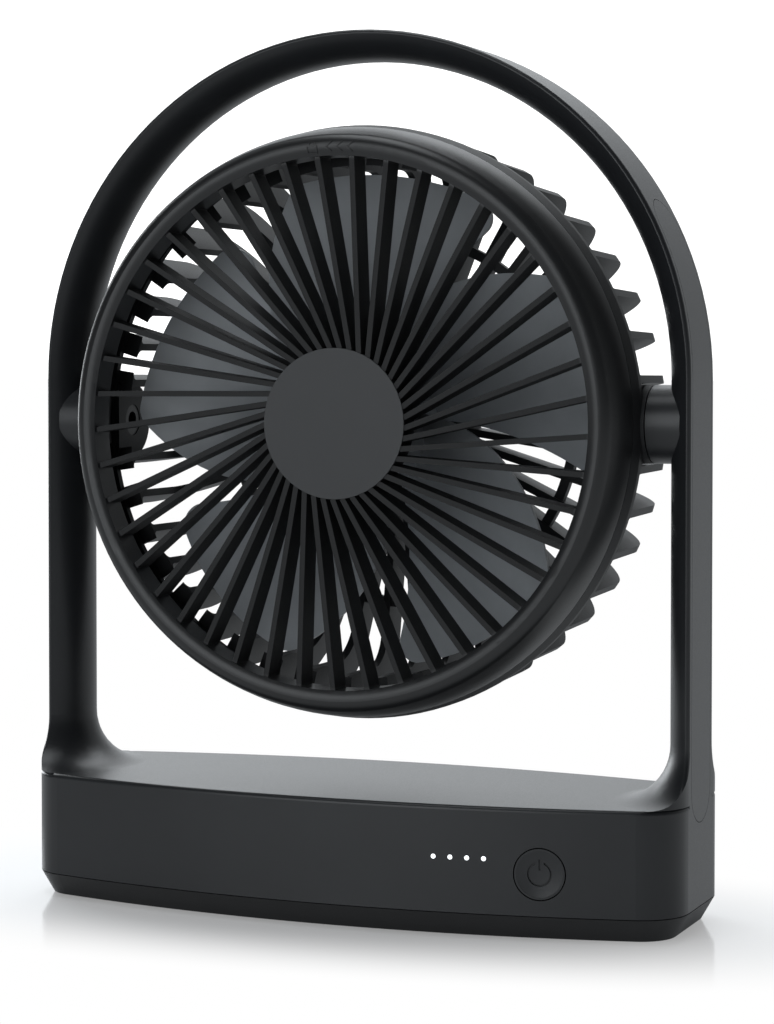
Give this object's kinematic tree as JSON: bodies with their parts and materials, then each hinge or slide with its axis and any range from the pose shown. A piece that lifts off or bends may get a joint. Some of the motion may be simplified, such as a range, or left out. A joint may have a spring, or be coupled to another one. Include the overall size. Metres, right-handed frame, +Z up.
{
  "type": "desk fan",
  "caption": "Small rechargeable desk fan: a round grilled head that tilts inside an arch standing on a bowed battery base with a power button and charge lights.",
  "frame": {"origin": "on the table under the middle of the base, in the plane of the tilt axis", "axes": "+X to the right seen from the front (the button's side), +Y to the rear, +Z up; the air leaves towards -Y"},
  "size_m": [0.174, 0.065, 0.2212],
  "materials": {
    "housing_plastic": "fine matt texture",
    "tray_plastic": "matt",
    "foot_rubber": "matt",
    "zinc_steel": "zinc plated",
    "cell_wrap": "shrink sleeve",
    "nickel": "bright strip",
    "board_green": "solder mask",
    "component_black": "moulded",
    "socket_steel": "rolled",
    "button_plastic": "fine matt texture, dished",
    "clear_white": "milky clear",
    "light_chip": "moulded",
    "acetal": "smooth",
    "pin_plastic": "smooth moulded",
    "pin_steel": "turned",
    "lead_sleeve": "sleeved cable",
    "grille_plastic": "satin",
    "guard_plastic": "satin",
    "motor_aluminium": "die cast",
    "bearing_steel": "ground",
    "lamination_steel": "stacked sheets",
    "copper_winding": "enamelled wire",
    "can_steel": "zinc plated",
    "ferrite": "moulded magnet",
    "blade_plastic": "satin slate grey"
  },
  "bodies": {
    "stand": {"frame_housing": "housing_plastic", "bottom_tray": "tray_plastic", "side_cover_right": "housing_plastic", "side_cover_left": "housing_plastic", "rubber_feet": "foot_rubber", "tray_screws": "zinc_steel", "battery_cells": "cell_wrap", "battery_cradle": "tray_plastic", "battery_tabs": "nickel", "main_circuit_board": "board_green", "board_components": "component_black", "board_screws": "zinc_steel", "charge_board": "board_green", "usb_socket": "socket_steel", "usb_tongue": "component_black", "control_board": "board_green", "tact_switch": "component_black", "charge_light_guides": "clear_white", "charge_light_chips": "light_chip", "pivot_bush_right": "acetal", "pivot_bush_left": "acetal", "motor_lead": "lead_sleeve"},
    "head": {"rear_guard": "guard_plastic", "pivot_pin_right": "pin_plastic", "pivot_pin_left": "pin_plastic", "motor_cover": "guard_plastic", "motor_base": "motor_aluminium", "bearing_front": "bearing_steel", "bearing_rear": "bearing_steel", "stator_core": "lamination_steel", "stator_windings": "copper_winding", "motor_board": "board_green", "motor_standoffs": "acetal", "motor_screws": "zinc_steel", "head_lead": "lead_sleeve"},
    "grille": {"front_grille": "grille_plastic"},
    "rotor": {"motor_shaft": "pin_steel", "rotor_can": "can_steel", "magnet_ring": "ferrite", "impeller": "blade_plastic", "impeller_nut": "blade_plastic"},
    "button": {"power_button": "button_plastic"}
  },
  "joints": [
    {"name": "head_tilt", "type": "hinge", "parent": "stand", "child": "head", "pos_m": [0, 0, 0.1231], "axis": [1, 0, 0], "range_deg": [-90, 90]},
    {"name": "fan_spin", "type": "hinge", "parent": "head", "child": "rotor", "pos_m": [0, 0, 0.1231], "axis": [0, 1, 0], "continuous": true},
    {"name": "grille_twist", "type": "hinge", "parent": "head", "child": "grille", "pos_m": [0, 0, 0.1231], "axis": [0, -1, 0], "range_deg": [0, 12]},
    {"name": "button_press", "type": "slide", "parent": "stand", "child": "button", "axis": [-0.1695, 0.9855, 0], "range_m": [0, 0.0006], "stiffness_N_per_m": 1500, "springref_m": -0.0003}
  ]
}
